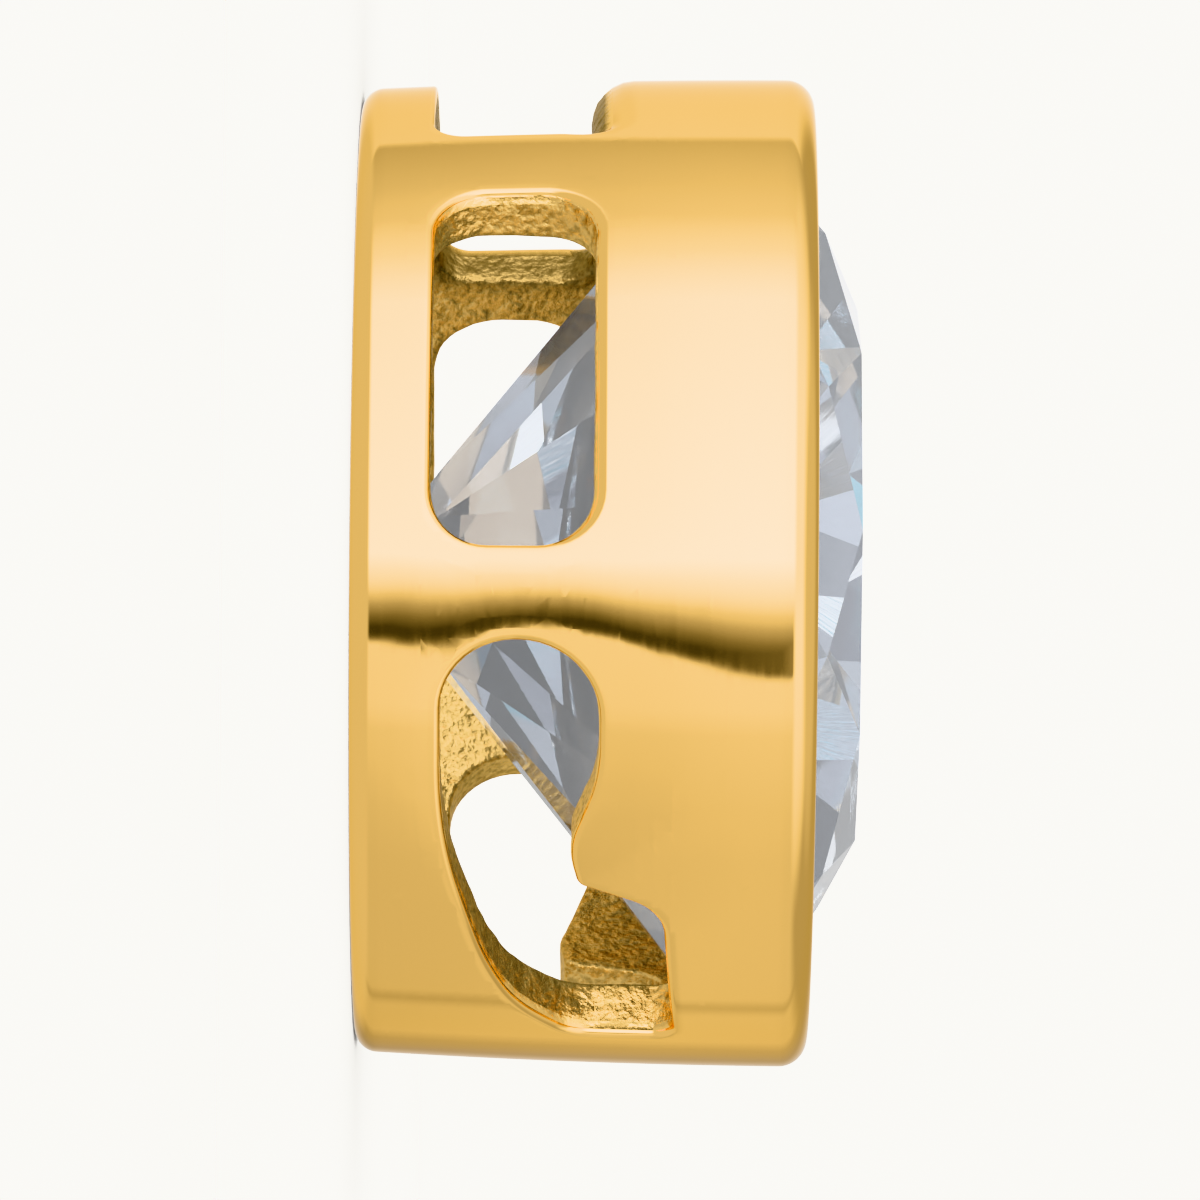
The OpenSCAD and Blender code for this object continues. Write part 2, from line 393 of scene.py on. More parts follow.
class PENDANT_OT_mount(bpy.types.Operator):
    """Shape the gold band flat, pierce it, and bend it into a ring"""

    bl_idname = "pendant.mount"
    bl_label = "Gold band"

    def execute(self, context):
        self.b = b = context.scene.pendant_band
        self.w = context.scene.pendant_windows
        self.inner_y = b.inner_r - b.front_r
        self.half_length = pi * b.front_r
        section = self.section()
        windows = self.windows()

        band = self.outer_frame(*section["outer"])
        self.pierce(band, section, windows)
        self.cut_grid()
        bpy.ops.object.mode_set(mode="OBJECT")
        band.vertex_groups.clear()
        self.polish_shape(band, windows)
        self.bend(band)
        self.mark_cast(band)
        self.cast_relief(band)
        band.scale = (MM, MM, MM)
        bpy.ops.object.transform_apply(location=False, rotation=False, scale=True)
        bpy.ops.object.shade_smooth_by_angle(angle=radians(32))
        normals = band.modifiers.new("Normals", "WEIGHTED_NORMAL")
        normals.keep_sharp = True
        normals.weight = 50
        bpy.ops.object.modifier_apply(modifier=normals.name)
        band.data.materials.append(gold_material(context.scene.pendant_finish))
        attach(band, "root")
        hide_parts("mount")
        return {"FINISHED"}

    def outer_y(self, z):
        """The outside's distance out at a height."""
        return -(self.b.lip_z - z) * tan(self.b.flare)

    def crown_y(self, z):
        """How far the outside bulges at a height."""
        share = z / self.b.lip_z
        return self.b.crown * 4 * max(0.0, share * (1 - share))

    def section(self):
        """The band's section: the ends of its outer face, and the way from each of them round to
        the inner face, over the lip and over the back rim."""
        b = self.b
        girdle_point_r = b.stone_r / cos(pi / GIRDLE_SIDES)

        def lip_foot(r):
            rise = (girdle_point_r - r) * UPPER_SLOPE + b.stone_gap * hypot(1, UPPER_SLOPE)
            return b.girdle_z + b.girdle_h + rise

        def ledge(r):
            drop = (girdle_point_r - r) * LOWER_SLOPE + b.stone_gap * hypot(1, LOWER_SLOPE)
            return b.girdle_z - drop

        def y(r):
            return r - b.front_r

        def along(a, c, distance):
            return a + (c - a).normalized() * distance

        corners = [
            (y(b.inner_r), 0, b.hollow_edge_r),
            (self.outer_y(0), 0, b.back_edge_r),
            (0, b.lip_z, b.front_edge_r),
            (y(b.lip_r + b.lip_bevel), b.lip_z, b.lip_edge_r),
            (y(b.lip_r), lip_foot(b.lip_r), 0),
            (y(b.seat_r), lip_foot(b.seat_r), 0),
            (y(b.seat_r), ledge(b.seat_r), 0),
            (y(b.inner_r), ledge(b.inner_r), 0),
        ]
        n = len(corners)
        places = [Vector(c[:2]) for c in corners]
        bends = [
            [p for p, _, _ in rounded_corner(
                places[i - 1], places[i], places[(i + 1) % n], corners[i][2], SECTION_STEP)]
            for i in range(n)
        ]
        hollow, back, front, lip, *seat = bends
        outer_back = along(back[-1], front[0], HOLD_OUTER_BACK)
        outer_front = along(front[0], back[-1], HOLD_OUTER_FRONT)
        return {
            "outer": (outer_back, outer_front),
            "front": [
                outer_front, *front, along(front[-1], lip[0], HOLD_FRONT),
                along(lip[0], front[-1], HOLD_LIP), *lip, *(bend[0] for bend in seat),
            ],
            "back": [
                outer_back, *reversed(back), along(back[0], hollow[-1], HOLD_RIM),
                along(hollow[-1], back[0], HOLD_RIM), *reversed(hollow),
                along(hollow[0], seat[-1][0], HOLD_HOLLOW),
            ],
        }

    def windows(self):
        """The slot, the two upper windows and the two lower windows."""
        b, w = self.b, self.w

        def even(normal):
            return w.edge_r

        def softer_front(elsewhere, in_front):
            return lambda normal: elsewhere + (in_front - elsewhere) * max(0.0, normal.y) ** 2

        def arc(*angles):
            return [a * b.front_r for a in angles]

        slot = softer_front(w.slot_end_r, w.slot_front_r)
        upper = softer_front(w.edge_r, w.upper_front_r)
        upper_front = b.girdle_z - w.upper_collar
        left, right = arc(w.left_start, w.upper_end), arc(w.right_start, w.upper_end)
        lower = (arc(w.lower_start, w.lower_end), w.lower_bar, b.girdle_z - w.lower_collar)
        return [
            Window(window_outline(
                arc(-w.slot_angle, w.slot_angle), w.slot_bar, b.girdle_z - w.slot_collar,
                w.slot_corner_r, TOP_TO_RIGHT), slot),
            Window(window_outline(
                left, w.left_bar, upper_front, w.left_corner_r, TOP_TO_LEFT),
                upper, SUNK_BY_UPPER, w.head_wall_lean),
            Window(window_outline(
                right, w.right_bar, upper_front, w.right_corner_r, TOP_TO_RIGHT),
                upper, SUNK_BY_UPPER),
            Window(leaf_outline(*lower, TOP_TO_LEFT), even, SUNK_BY_LOWER),
            Window(leaf_outline(*lower, TOP_TO_RIGHT), even, SUNK_BY_LOWER),
        ]

    def outer_frame(self, outer_back, outer_front):
        """The four edges round the outer face, open in edit mode."""
        bpy.ops.object.select_all(action="DESELECT")
        bpy.ops.mesh.primitive_plane_add(size=2)
        band = bpy.context.object
        band.name = band.data.name = "gold_band"
        edit(band)
        pick(lambda p: True)
        bpy.ops.mesh.delete(type="ONLY_FACE")
        pick(lambda p: True)
        rims = ((-1, outer_back), (1, outer_front))
        sides = [(x, y, outer) for x in (-1, 1) for y, outer in rims]
        move_picked(
            [(x, y, 0) for x, y, _ in sides],
            [Vector((x * self.half_length, outer.x, outer.y)) for x, _, outer in sides],
        )
        return band

    def pierce(self, band, section, windows):
        """Cuts the windows through, and closes the band over its lip and back rim."""
        rings = [self.steps(window) for window in windows]
        for steps in rings:
            self.add_ring(steps[0])
        pick(lambda p: True)
        bpy.ops.mesh.fill(use_beauty=True)
        inner = band.vertex_groups.new(name="inner")
        for steps in rings:
            pick_loop(steps[0])
            for old, new in zip(steps, steps[1:]):
                bpy.ops.mesh.extrude_region_move()
                move_picked(old, new)
            self.keep(band, inner)
        bpy.ops.mesh.select_mode(type="VERT")
        for path in (section["front"], section["back"]):
            start = path[0]
            pick(lambda p: same(abs(p.x), self.half_length) and in_section(p, start))
            for old, new in zip(path, path[1:]):
                step = new - old
                bpy.ops.mesh.extrude_region_move(
                    TRANSFORM_OT_translate={"value": (0, step.x, step.y)})
            self.keep(band, inner)
        ends = (section["front"][-1], section["back"][-1])
        for x in (-self.half_length, self.half_length):
            pick(lambda p: same(p.x, x) and any(in_section(p, end) for end in ends))
            bpy.ops.mesh.edge_face_add()
        bpy.ops.mesh.select_all(action="DESELECT")
        bpy.ops.object.vertex_group_select()
        bpy.ops.mesh.fill(use_beauty=True)
        bpy.ops.mesh.select_all(action="SELECT")
        bpy.ops.mesh.normals_make_consistent(inside=False)

    def keep(self, band, group):
        """Puts the selected vertices in the group that the inner face is filled from."""
        band.vertex_groups.active_index = group.index
        bpy.ops.object.vertex_group_assign()

    def add_ring(self, places):
        """Adds a closed loop of edges through the places."""
        bpy.ops.mesh.select_all(action="DESELECT")
        bpy.ops.mesh.primitive_circle_add(vertices=len(places), radius=1, fill_type="NOTHING")
        sheet = bmesh.from_edit_mesh(bpy.context.edit_object.data)
        ring = [v for v in sheet.verts if v.select]
        walk, seen = [ring[0]], {ring[0]}
        while len(walk) < len(ring):
            following = [e.other_vert(walk[-1]) for e in walk[-1].link_edges]
            walk.append(next(v for v in following if v not in seen))
            seen.add(walk[-1])
        for v, place in zip(walk, places):
            v.co = place
        bmesh.update_edit_mesh(bpy.context.edit_object.data)

    def steps(self, window):
        """The rings through the wall at a window, from the outer face to the inner face."""
        outline = window.outline
        radii = [min(window.softening(n), room * SOFT_SHARE) for _, n, room in outline]
        head_end = -HEAD_END * self.b.front_r
        leans = [window.lean * max(0.0, n.x) if p.x > head_end else 0.0 for p, n, _ in outline]
        points = [(*point, r, lean) for point, r, lean in zip(outline, radii, leans)]
        edge = self.w.inner_edge_r
        foot = self.inner_y + edge

        def beside(p, n, out, y):
            return Vector((p.x + n.x * out, y, p.y + n.y * out))

        def outside(p, n, out, depth):
            return beside(p, n, out, self.outer_y(p.y + n.y * out) - depth)

        rings = [
            [outside(p, n, min(r + shoulder, room * share), 0) for p, n, room, r, _ in points]
            for shoulder, share in SHOULDERS
        ]
        rings += [
            [outside(p, n, r * (1 - sin(a)), r * (1 - cos(a))) for p, n, _, r, _ in points]
            for a in EDGE_ANGLES
        ]
        for t in (k / WALL_ROWS for k in range(1, WALL_ROWS + 1)):
            tops = [self.outer_y(p.y) - r for p, _, _, r, _ in points]
            rings.append([
                beside(p, n, -lean * t, top + (foot - top) * t)
                for (p, n, _, _, lean), top in zip(points, tops)
            ])
        rings += [
            [beside(p, n, edge * (1 - cos(a)) - lean, foot - edge * sin(a))
             for p, n, _, _, lean in points]
            for a in EDGE_ANGLES[2::2]
        ]
        shoulder, share = INNER_SHOULDER
        rings.append([
            beside(p, n, min(shoulder, room * share) - lean, self.inner_y)
            for p, n, room, _, lean in points
        ])
        return rings

    def cut_grid(self):
        """Cuts the outer and inner face into rows, and the whole band into columns."""
        b = self.b
        for face_y in (self.outer_y, lambda z: self.inner_y):
            for i in range(1, b.rows):
                pick(lambda p: abs(p.y - face_y(p.z)) < 0.0005)
                bpy.ops.mesh.bisect(
                    plane_co=(0, 0, b.lip_z * i / b.rows), plane_no=(0, 0, 1), threshold=0.0005)
        for i in range(1, b.columns):
            bpy.ops.mesh.select_all(action="SELECT")
            x = self.half_length * (2 * i / b.columns - 1)
            bpy.ops.mesh.bisect(plane_co=(x, 0, 0), plane_no=(1, 0, 0), threshold=0.0005)

    def polish_shape(self, band, windows):
        """Crowns the outside and sinks it a little towards the side windows, as polishing does."""
        b = self.b
        between = 8  # places from one point of an outline to the next
        trees = []
        for window in windows:
            if not window.sinking:
                continue
            places = [p for p, _, _ in window.outline]
            pairs = zip(places, places[1:] + places[:1])
            dense = [a.lerp(c, k / between) for a, c in pairs for k in range(between)]
            tree = kdtree.KDTree(3 * len(dense))
            for turn in (-1, 0, 1):
                for place in dense:
                    tree.insert((place.x + turn * 2 * self.half_length, 0, place.y), 0)
            tree.balance()
            trees.append((tree, *window.sinking))
        for v in band.data.vertices:
            share = (v.co.y - self.inner_y) / (self.outer_y(v.co.z) - self.inner_y)
            if share > 0:
                place = (v.co.x, 0, v.co.z)
                angle = degrees(abs(v.co.x) / b.front_r)
                sunk = sum(
                    depth * exp(-tree.find(place)[2] / b.dish_reach) * fade(angle, end, start)
                    for tree, depth, start, end in trees
                )
                v.co.y += (self.crown_y(v.co.z) - b.dish * sunk) * min(1.0, share)

    def bend(self, band):
        """Bends the flat band into a ring round the Z axis, and joins its ends."""
        bend = band.modifiers.new("Ring", "SIMPLE_DEFORM")
        bend.deform_method = "BEND"
        bend.deform_axis = "Z"
        bend.angle = -2 * pi
        bpy.ops.object.modifier_apply(modifier=bend.name)
        band.location.y = self.b.front_r
        bpy.ops.object.transform_apply(location=True, rotation=False, scale=False)
        edit(band)
        bpy.ops.mesh.select_all(action="SELECT")
        bpy.ops.mesh.remove_doubles(threshold=0.002)
        bpy.ops.mesh.normals_make_consistent(inside=False)
        bpy.ops.object.mode_set(mode="OBJECT")

    def mark_cast(self, band):
        """Marks how far a place keeps its cast skin, and how far it takes painted shade on the
        walls at the slot's ends.
        """
        b = self.b
        as_cast, slot_end_shade = [], []
        for v in band.data.vertices:
            x, y, z = v.co
            depth = b.front_r + self.outer_y(z) + self.crown_y(z) - hypot(x, y)
            behind = fade(b.girdle_z - z, *CAST_BEHIND)
            as_cast.append(fade(depth, *CAST_INSIDE) * behind * fade(z, *CAST_AHEAD))
            # Painted shade: the walls at the slot's ends are darkened, deeper in and higher up
            slot_end_shade.append(fade(y, *SLOT_SHADE_ABOVE) * fade(depth, *SLOT_SHADE_INSIDE))
        for name, values in (("as_cast", as_cast), ("slot_end_shade", slot_end_shade)):
            band.data.attributes.new(name, "FLOAT", "POINT").data.foreach_set("value", values)

    def cast_relief(self, band):
        """Raises and pits the skin that was left as cast."""
        skin = band.vertex_groups.new(name="cast skin")
        for i, item in enumerate(band.data.attributes["as_cast"].data):
            if item.value > 0:
                skin.add([i], item.value, "REPLACE")
        lumps = bpy.data.textures.new("cast lumps", "CLOUDS")
        lumps.noise_scale = self.b.relief_size
        lumps.noise_depth = 2
        relief = band.modifiers.new("Relief", "DISPLACE")
        relief.texture = lumps
        relief.texture_coords = "LOCAL"
        relief.strength = self.b.relief
        relief.mid_level = 0.5
        relief.vertex_group = skin.name
        bpy.ops.object.modifier_apply(modifier=relief.name)
        band.vertex_groups.clear()


def feed(tree, socket, value):
    """Gives a socket its plain value, or links another node's output to it."""
    if isinstance(value, bpy.types.NodeSocket):
        tree.links.new(value, socket)
    else:
        socket.default_value = value


def feed_named(tree, node, values):
    """Feeds a node's sockets by their names."""
    for name, value in values.items():
        feed(tree, node.inputs[name], value)


def maths(tree, operation, *values):
    """What a Math node makes of the values."""
    node = tree.nodes.new("ShaderNodeMath")
    node.operation = operation
    for socket, value in zip(node.inputs, values):
        feed(tree, socket, value)
    return node.outputs[0]


def vectors(tree, operation, *values):
    """What a Vector Math node makes of the values."""
    node = tree.nodes.new("ShaderNodeVectorMath")
    node.operation = operation
    sockets = (node.inputs[0], node.inputs["Scale"]) if operation == "SCALE" else node.inputs
    for socket, value in zip(sockets, values):
        feed(tree, socket, value)
    return node.outputs["Value" if operation == "LENGTH" else "Vector"]


def span(tree, value, low, high, to_low=0, to_high=1, smooth=False):
    """Carries a value from the span low to high over to the span to_low to to_high."""
    node = tree.nodes.new("ShaderNodeMapRange")
    if smooth:
        node.interpolation_type = "SMOOTHSTEP"
    feed_named(tree, node, {
        "Value": value, "From Min": low, "From Max": high, "To Min": to_low, "To Max": to_high})
    return node.outputs["Result"]


def blend(tree, share, a, b, colours=False):
    """Two values or colours, mixed by the second one's share."""
    node = tree.nodes.new("ShaderNodeMix")
    if colours:
        node.data_type = "RGBA"
    feed_named(tree, node, {"Factor": share, "A": a, "B": b})
    return node.outputs["Result"]


def noise(tree, vector, scale, detail):
    """Noise at a vector, from 0 to 1."""
    node = tree.nodes.new("ShaderNodeTexNoise")
    feed_named(tree, node, {"Vector": vector, "Scale": scale, "Detail": detail})
    return node.outputs["Fac"]


def bumps(tree, height, strength, distance):
    """The normal of a surface that a height raises by up to a distance in metres."""
    node = tree.nodes.new("ShaderNodeBump")
    feed_named(tree, node, {"Height": height, "Strength": strength, "Distance": distance})
    return node.outputs["Normal"]


def marked(tree, name):
    """How far a place is marked on the mesh."""
    node = tree.nodes.new("ShaderNodeAttribute")
    node.attribute_name = name
    return node.outputs["Fac"]


def node_group(name, sizes, results):
    """A new group that takes a vector and sizes: its tree, and the sockets at its two ends."""
    tree = bpy.data.node_groups.new(name, "ShaderNodeTree")
    tree.interface.new_socket("Vector", in_out="INPUT", socket_type="NodeSocketVector")
    for size in sizes:
        tree.interface.new_socket(size, in_out="INPUT", socket_type="NodeSocketFloat")
    for result in results:
        tree.interface.new_socket(result, in_out="OUTPUT", socket_type="NodeSocketFloat")
    return tree, tree.nodes.new("NodeGroupInput").outputs, tree.nodes.new("NodeGroupOutput").inputs


def use_group(tree, group, values):
    """Places a group with its values, and gives what it puts out."""
    node = tree.nodes.new("ShaderNodeGroup")
    node.node_tree = group
    feed_named(tree, node, values)
    return node.outputs


def cast_skin_group():
    """Pits and grain of cast metal, as a height and a shade."""
    tree, into, out = node_group("CastSkin", ["Grain Size"], ["Height", "Shade"])
    # The coarse pits are 3.6 times as large as the fine grain, and count 2.2 times as much.
    scale = maths(tree, "DIVIDE", 1, into["Grain Size"])
    fine = noise(tree, into["Vector"], scale, 3)
    coarse = noise(tree, into["Vector"], maths(tree, "MULTIPLY", scale, 0.28), 2)
    feed(tree, out["Height"], maths(tree, "MULTIPLY_ADD", coarse, 2.2, fine))
    feed(tree, out["Shade"], fine)
    return tree


def polish_streaks_group():
    """Fine streaks that run in towards the middle, as a height."""
    tree, into, out = node_group("PolishStreaks", ["Streaks Round", "Streak Length"], ["Height"])
    flat = vectors(tree, "MULTIPLY", into["Vector"], (1, 1, 0))
    fan = vectors(tree, "SCALE", vectors(tree, "NORMALIZE", flat), into["Streaks Round"])
    lift = tree.nodes.new("ShaderNodeCombineXYZ")
    along = maths(tree, "DIVIDE", vectors(tree, "LENGTH", flat), into["Streak Length"])
    feed(tree, lift.inputs["Z"], along)
    feed(tree, out["Height"], noise(tree, vectors(tree, "ADD", fan, lift.outputs["Vector"]), 1, 3))
    return tree


def polish_marks_group():
    """Faint marks that a polishing wheel leaves round the band, as a share of roughness."""
    tree, into, out = node_group("PolishMarks", ["Mark Size"], ["Marks"])
    # The marks are drawn out to eight times their size round the band.
    drawn = vectors(tree, "MULTIPLY", into["Vector"], (0.12, 0.12, 1))
    feed(tree, out["Marks"], noise(tree, drawn, maths(tree, "DIVIDE", 1, into["Mark Size"]), 2))
    return tree


def new_material(name):
    """A new material: itself, its tree, its shader and the place on the object."""
    material = bpy.data.materials.new(name)
    material.use_nodes = True
    tree = material.node_tree
    place = tree.nodes.new("ShaderNodeTexCoord").outputs["Object"]
    return material, tree, tree.nodes["Principled BSDF"], place


# How far the gold's own colour gives way to painted shade: to a grey for light inside the stone,
# and to a dark grey for the floor's light, which paints a shadow on the floor
STONE_SHADE_SHARE = 0.8
FLOOR_SHADOW_SHARE = 1.0
# How dark the painted shade on the walls at the slot's ends is, and how dark the cast skin's
# deepest pits are
SLOT_END_SHADE_LEVEL = 0.4
PIT_SHADE = 0.62
# The noise in the deepest pits and where they end, and where the marks are least and most
PIT_NOISE, MARK_NOISE = (0.36, 0.56), (0.3, 0.7)
# How far the marks change the polish, as a share of its roughness
MARK_DEPTH = 0.4
# Where the streaks on the stone come in, in metres up from the back rim, and how many there are
STREAKS_FROM, STREAKS_TO = 0.0056, 0.0052
STREAKS_ROUND = 60
# The strength and the height, in metres, of the cast skin's grain and of the streaks
GRAIN_BUMP = (0.9, 0.000045)
STREAK_BUMP = (0.02, 0.00002)


def gold_material(finish):
    """Polished gold outside and gold with its cast skin inside, with painted shade on the walls at
    the slot's ends, painted shade for light inside the stone and a painted shadow for the floor's
    light.
    """
    material, tree, shader, place = new_material("gold")
    path = tree.nodes.new("ShaderNodeLightPath").outputs
    skin = use_group(tree, cast_skin_group(), {
        "Vector": place, "Grain Size": finish.grain_size * MM})
    marks = use_group(tree, polish_marks_group(), {
        "Vector": place, "Mark Size": finish.mark_size * MM})
    as_cast = marked(tree, "as_cast")

    pits = span(tree, skin["Shade"], *PIT_NOISE, PIT_SHADE, 1)
    # Painted shade: the colour of the walls at the slot's ends is darkened
    slot_end_shade = span(tree, marked(tree, "slot_end_shade"), 0, 1, 1, SLOT_END_SHADE_LEVEL)
    cast_and_slot_shade = vectors(tree, "SCALE", finish.cast_gold, maths(tree, "MULTIPLY", pits, slot_end_shade))
    colour = blend(tree, as_cast, (*finish.gold, 1), cast_and_slot_shade, colours=True)
    for ray, share, given in (
        # Painted shade: for light inside the stone the gold is a grey
        ("Is Transmission Ray", STONE_SHADE_SHARE, finish.painted_shade_in_stone),
        # Painted shadow: for the floor's light the gold is a dark grey, which shades the floor near
        # it
        ("Is Diffuse Ray", FLOOR_SHADOW_SHARE, finish.painted_floor_shadow),
    ):
        part = maths(tree, "MULTIPLY", path[ray], share)
        colour = blend(tree, part, colour, (*given, 1), colours=True)

    least, most = (finish.polish * (1 + way * MARK_DEPTH) for way in (-1, 1))
    polish = span(tree, marks["Marks"], *MARK_NOISE, least, most)
    height = maths(tree, "MULTIPLY", skin["Height"], as_cast)
    feed_named(tree, shader, {
        "Metallic": 1,
        "Specular Tint": (*finish.edge_tint, 1),
        "Base Color": colour,
        "Roughness": span(tree, as_cast, 0, 1, polish, finish.cast_rough),
        "Normal": bumps(tree, height, *GRAIN_BUMP),
    })
    return material


class PENDANT_OT_stone(bpy.types.Operator):
    """Give the stone its polished facets"""

    bl_idname = "pendant.stone"
    bl_label = "Stone"

    def execute(self, context):
        finish = context.scene.pendant_finish
        material, tree, shader, place = new_material("clear_stone")
        streaks = use_group(tree, polish_streaks_group(), {
            "Vector": place, "Streaks Round": STREAKS_ROUND,
            "Streak Length": finish.streak_length * MM})
        parts = tree.nodes.new("ShaderNodeSeparateXYZ")
        feed(tree, parts.inputs[0], place)
        below = span(tree, parts.outputs["Z"], STREAKS_FROM, STREAKS_TO)
        height = maths(tree, "MULTIPLY", streaks["Height"], below)
        feed_named(tree, shader, {
            "Base Color": (*finish.stone, 1),
            "Roughness": 0.02,
            "IOR": finish.stone_ior,
            "Transmission Weight": 0.86,
            "Normal": bumps(tree, height, *STREAK_BUMP),
        })
        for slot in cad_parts["stone"].material_slots:
            slot.material = material
        return {"FINISHED"}


# The camera, as the photo sees the pendant: the degrees that it is turned and rolled, its place
# in millimetres back from, across and up from the middle of the back rim, and its lens
CAMERA_TURN, CAMERA_ROLL = 9, 0.47
CAMERA_BACK, CAMERA_ACROSS, CAMERA_UP = 169.2, -0.4375, 3.756
LENS = 324.87

# The floor's radius, and from where to where it fades out, in metres
FLOOR_R = 0.09
FLOOR_FADE = (0.02, 0.085)

# How bright the studio is towards each side, for what the gold mirrors.
# Degrees round from the side that the photo was taken from, towards the pendant's top.
PHOTO_SIDE = 189
STUDIO = (
    (-180, 0.84), (-161, 0.5), (-149, 0.6), (-142, 0.8), (-126, 0.8), (-122, 0.6), (-118, 0.8),
    (-71, 0.81), (-56, 0.87), (-38, 1.05), (-32, 1.45), (-16, 1.6), (-12, 3.0), (-6, 5.6),
    (0, 7.0), (40, 5.8), (66, 5.0), (80, 2.2), (91, 1.07), (102, 0.85), (120.5, 0.66),
    (122, 1.28), (180, 1.28),
)
# The dark card below the bright side: the most that is seen past it.
CARD = (
    (-30, 7), (-26, 7), (-24.3, 1.5), (-23.5, 0.95), (-22.7, 0.4), (-21.8, 0.13), (-20.8, 0.07),
    (-19, 0.07), (-16, 0.26), (-12.5, 0.6), (-9.5, 1.05), (-6, 2.6), (-2, 4.2), (3, 7), (10, 7),
)
# Across the studio, by height towards the pendant's front: how much wider the card stands and by
# how many degrees farther on, how bright the whole side is, and the least that the card gives.
CARD_REACH = (
    (-0.07, 1.2), (-0.055, 1.16), (-0.045, 1.12), (-0.036, 1.06), (-0.006, 0.95), (0.01, 0.95),
)
CARD_SHIFT = ((-0.09, 2.2), (-0.076, 0.6), (-0.066, 0), (-0.036, 0.3), (-0.006, 0))
SIDE_GAIN = ((-0.1, 0.94), (-0.06, 0.97), (-0.035, 1.04), (-0.005, 1.1), (0.05, 1.05))
CARD_LIFT = ((-0.03, 0.04), (-0.005, 0.17), (0.08, 0.34))
# The dome in front of the pendant: degrees round to its brightest place, then from its far side
# to that place the cosine and the level.
DOME_TURN = 14
DOME_COSINE, DOME_LEVEL = (-0.4, 1), (0.55, 2.9)
# The caps in front and behind: the heights where each comes in and is whole, and its level.
FRONT_CAP, BACK_CAP = (0.75, 0.95, 0.8), (-0.2, -0.42, 0.85)
DOME_FROM, DOME_WHOLE = 0.2, 0.5
# What shines into the stone, as shares of the glint level: dark and pale patches, one teal.
GLINTS = (
    (0.36, (0.03, 0.035, 0.05)), (0.43, (0.12, 0.13, 0.16)), (0.47, (0.3, 0.32, 0.36)),
    (0.51, (0.15, 0.16, 0.19)), (0.55, (0.42, 0.45, 0.5)), (0.58, (0.1, 0.34, 0.42)),
    (0.6, (0.26, 0.28, 0.32)), (0.63, (1, 1, 1)),
)
GLINT_LEVEL = 2.0
GLINT_SCALE = 4.2


def colour_stops(tree, value, stops):
    """A colour that follows a value through its stops: place and colour."""
    ramp = tree.nodes.new("ShaderNodeValToRGB")
    elements = ramp.color_ramp.elements
    while len(elements) > 1:
        elements.remove(elements[-1])
    for i, (place, colour) in enumerate(stops):
        stop = elements[0] if i == 0 else elements.new(place)
        stop.position = place
        stop.color = (*colour, 1)
    feed(tree, ramp.inputs["Fac"], value)
    return ramp.outputs["Color"]


def level_of(tree, value, table):
    """The level at a value, by a table of (value, level) with straight runs between its rows."""
    low, high = table[0][0], table[-1][0]
    peak = max(level for _, level in table)
    stops = [((at - low) / (high - low), (level / peak,) * 3) for at, level in table]
    return maths(tree, "MULTIPLY", colour_stops(tree, span(tree, value, low, high), stops), peak)


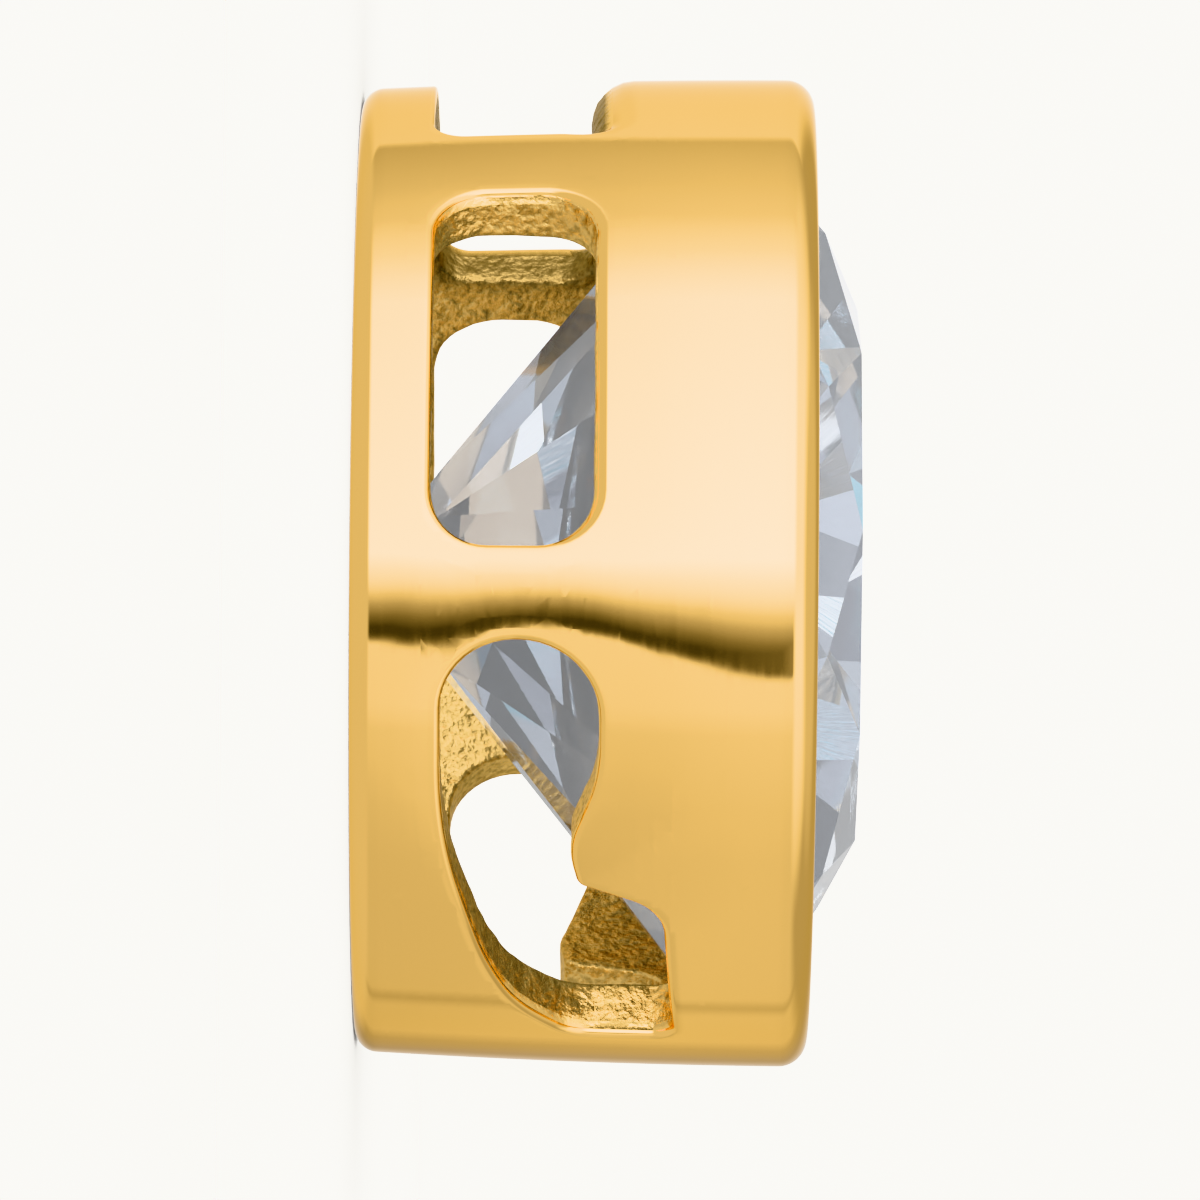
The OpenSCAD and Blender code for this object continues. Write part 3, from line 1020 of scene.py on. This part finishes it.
class PENDANT_OT_stage(bpy.types.Operator):
    """Set the camera, the pale floor and the studio light"""

    bl_idname = "pendant.stage"
    bl_label = "Stage"

    def execute(self, context):
        self.camera(context)
        self.floor(context.scene.pendant_stage)
        self.world(context)
        context.scene.view_settings.view_transform = "Khronos PBR Neutral"
        return {"FINISHED"}

    def camera(self, context):
        """Looks across the band at the photo's angle, rolled a quarter turn."""
        turn, roll = radians(CAMERA_TURN), radians(CAMERA_ROLL)
        ahead = Vector((cos(turn), sin(turn), 0))
        across = Vector((-sin(turn), cos(turn), 0))
        up = Vector((0, 0, 1))
        right = cos(roll) * up + sin(roll) * across
        top = cos(roll) * across - sin(roll) * up
        place = (-CAMERA_BACK * ahead + CAMERA_ACROSS * across + CAMERA_UP * up) * MM
        bpy.ops.object.camera_add()
        camera = context.object
        camera.name = "camera"
        turned = Matrix((right, top, -ahead)).transposed().to_4x4()
        camera.matrix_world = Matrix.Translation(place) @ turned
        camera.data.sensor_fit = "HORIZONTAL"
        camera.data.sensor_width = 36
        camera.data.lens = LENS
        camera.data.clip_start = 0.01
        camera.data.clip_end = 10
        context.scene.camera = camera

    def floor(self, stage):
        """A pale disc that fades out into the backdrop."""
        bpy.ops.object.select_all(action="DESELECT")
        bpy.ops.mesh.primitive_circle_add(vertices=96, radius=FLOOR_R, fill_type="NGON")
        floor = bpy.context.object
        floor.name = floor.data.name = "floor"
        material, tree, shader, place = new_material("floor")
        feed_named(tree, shader, {
            "Base Color": (*(c / stage.soft for c in stage.backdrop), 1),
            "Roughness": 1,
            "Specular IOR Level": 0,
            "Alpha": span(tree, vectors(tree, "LENGTH", place), *FLOOR_FADE, 1, 0, smooth=True),
        })
        floor.data.materials.append(material)
        floor.visible_glossy = False
        floor.visible_transmission = False

    def world(self, context):
        """The studio: what the gold mirrors, what shines into the stone, and the even backdrop."""
        stage = context.scene.pendant_stage
        world = bpy.data.worlds.new("studio")
        context.scene.world = world
        world.use_nodes = True
        tree = world.node_tree
        lit = tree.nodes["Background"]
        plain = tree.nodes.new("ShaderNodeBackground")
        plain.inputs["Color"].default_value = (*stage.backdrop, 1)
        way = tree.nodes.new("ShaderNodeTexCoord").outputs["Generated"]
        path = tree.nodes.new("ShaderNodeLightPath").outputs
        parts = tree.nodes.new("ShaderNodeSeparateXYZ")
        feed(tree, parts.inputs[0], way)
        x, y, z = parts.outputs

        around = maths(tree, "SUBTRACT", radians(PHOTO_SIDE), maths(tree, "ARCTAN2", y, x))
        around = maths(tree, "WRAP", around, pi, -pi)
        shift = maths(tree, "RADIANS", level_of(tree, z, CARD_SHIFT))
        to_card = maths(tree, "MULTIPLY", around, level_of(tree, z, CARD_REACH))
        to_card = maths(tree, "SUBTRACT", to_card, shift)
        bare = level_of(tree, around, [(radians(a), level) for a, level in STUDIO])
        past_card = level_of(tree, to_card, [(radians(a), level) for a, level in CARD])
        side = maths(tree, "MINIMUM", bare, past_card)
        side = maths(tree, "MULTIPLY", side, level_of(tree, z, SIDE_GAIN))
        strength = maths(tree, "MAXIMUM", side, level_of(tree, z, CARD_LIFT))
        facing = maths(tree, "COSINE", maths(tree, "SUBTRACT", around, radians(DOME_TURN)))
        dome = (DOME_FROM, DOME_WHOLE, span(tree, facing, *DOME_COSINE, *DOME_LEVEL, smooth=True))
        for low, whole, level in (dome, FRONT_CAP, BACK_CAP):
            strength = blend(tree, span(tree, z, low, whole, smooth=True), strength, level)

        glints = colour_stops(tree, noise(tree, way, GLINT_SCALE, 2), GLINTS)
        feed(tree, lit.inputs["Color"], blend(
            tree, path["Is Transmission Ray"], (1, 1, 1, 1), glints, colours=True))
        for ray, level in (("Is Transmission Ray", GLINT_LEVEL), ("Is Diffuse Ray", stage.soft)):
            strength = blend(tree, path[ray], strength, level)
        feed(tree, lit.inputs["Strength"], strength)
        either = tree.nodes.new("ShaderNodeMixShader")
        ends = (path["Is Camera Ray"], lit.outputs[0], plain.outputs[0])
        for socket, value in zip(either.inputs, ends):
            feed(tree, socket, value)
        feed(tree, tree.nodes["World Output"].inputs["Surface"], either.outputs[0])


class PENDANT_PT_sidebar(bpy.types.Panel):
    """Sizes, colours and steps of the slide pendant"""

    bl_idname = "PENDANT_PT_sidebar"
    bl_label = "Slide pendant"
    bl_space_type = "VIEW_3D"
    bl_region_type = "UI"
    bl_category = "Pendant"

    def draw(self, context):
        for name in GROUPS:
            group = getattr(context.scene, name)
            box = self.layout.box()
            for value in group.__annotations__:
                box.prop(group, value)
        for operator in OPERATORS:
            self.layout.operator(operator.bl_idname)


GROUPS = {
    "pendant_band": PendantBand,
    "pendant_windows": PendantWindows,
    "pendant_finish": PendantFinish,
    "pendant_stage": PendantStage,
}
OPERATORS = (PENDANT_OT_stage, PENDANT_OT_mount, PENDANT_OT_stone)


def register():
    for name, group in GROUPS.items():
        bpy.utils.register_class(group)
        setattr(bpy.types.Scene, name, bpy.props.PointerProperty(type=group))
    for cls in (*OPERATORS, PENDANT_PT_sidebar):
        bpy.utils.register_class(cls)


def unregister():
    for cls in (PENDANT_PT_sidebar, *reversed(OPERATORS)):
        bpy.utils.unregister_class(cls)
    for name, group in GROUPS.items():
        delattr(bpy.types.Scene, name)
        bpy.utils.unregister_class(group)


def main():
    register()
    bpy.ops.pendant.stage()
    bpy.ops.pendant.mount()
    bpy.ops.pendant.stone()


if __name__ == "__main__":
    main()
